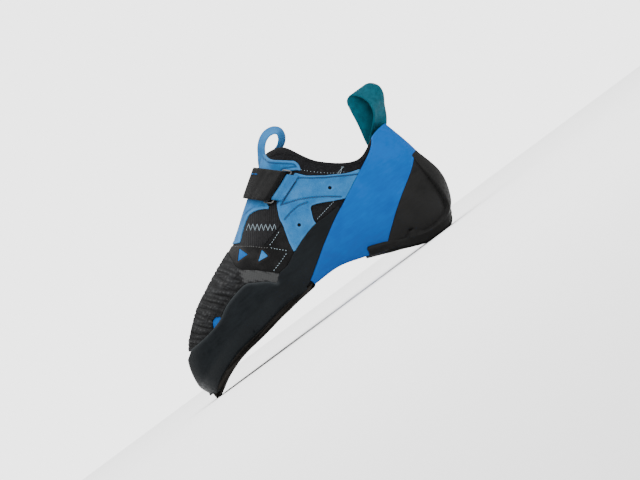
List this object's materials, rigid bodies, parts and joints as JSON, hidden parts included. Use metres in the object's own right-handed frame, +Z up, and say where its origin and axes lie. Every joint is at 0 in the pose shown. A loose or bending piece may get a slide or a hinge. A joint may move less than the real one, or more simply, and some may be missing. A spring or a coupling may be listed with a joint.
{
  "type": "climbing shoe",
  "caption": "Downturned slip-on climbing shoe for the left foot: rubber sole, rand and heel, blue tension band, suede panels, folded strap with ring, pull loops at throat and heel.",
  "frame": {"origin": "middle of the flat spot under the heel, on the floor", "axes": "-X towards the toe, +X towards the heel, -Y the outer side of the foot, +Z up"},
  "size_m": [0.2588, 0.0909, 0.1477],
  "materials": {
    "black_stretch_fabric": "matt fine-ribbed stretch fabric",
    "insole_board": "matt liner on a thin board",
    "black_rubber": "satin climbing rubber, dusty",
    "blue_rubber": "satin tension rubber",
    "black_microfibre": "matt microfibre",
    "blue_suede": "napped suede",
    "black_webbing": "woven hook-and-loop webbing",
    "ring_steel": "satin steel wire",
    "teal_webbing": "flat woven tape"
  },
  "bodies": {
    "root": {"upper": "black_stretch_fabric", "insole": "insole_board", "outsole": "black_rubber", "heel_tread": "black_rubber", "toe_rand": "black_rubber", "toe_patch": "black_rubber", "heel_cup": "black_rubber", "sling": "blue_rubber", "vamp_panel": "black_microfibre", "side_panel_outer": "blue_suede", "side_panel_inner": "blue_suede", "tongue_panel": "blue_suede", "front_pull_loop": "blue_suede", "strap": "black_webbing", "strap_ring": "ring_steel", "ring_tab": "blue_suede", "heel_pull_loop": "teal_webbing"}
  },
  "joints": []
}
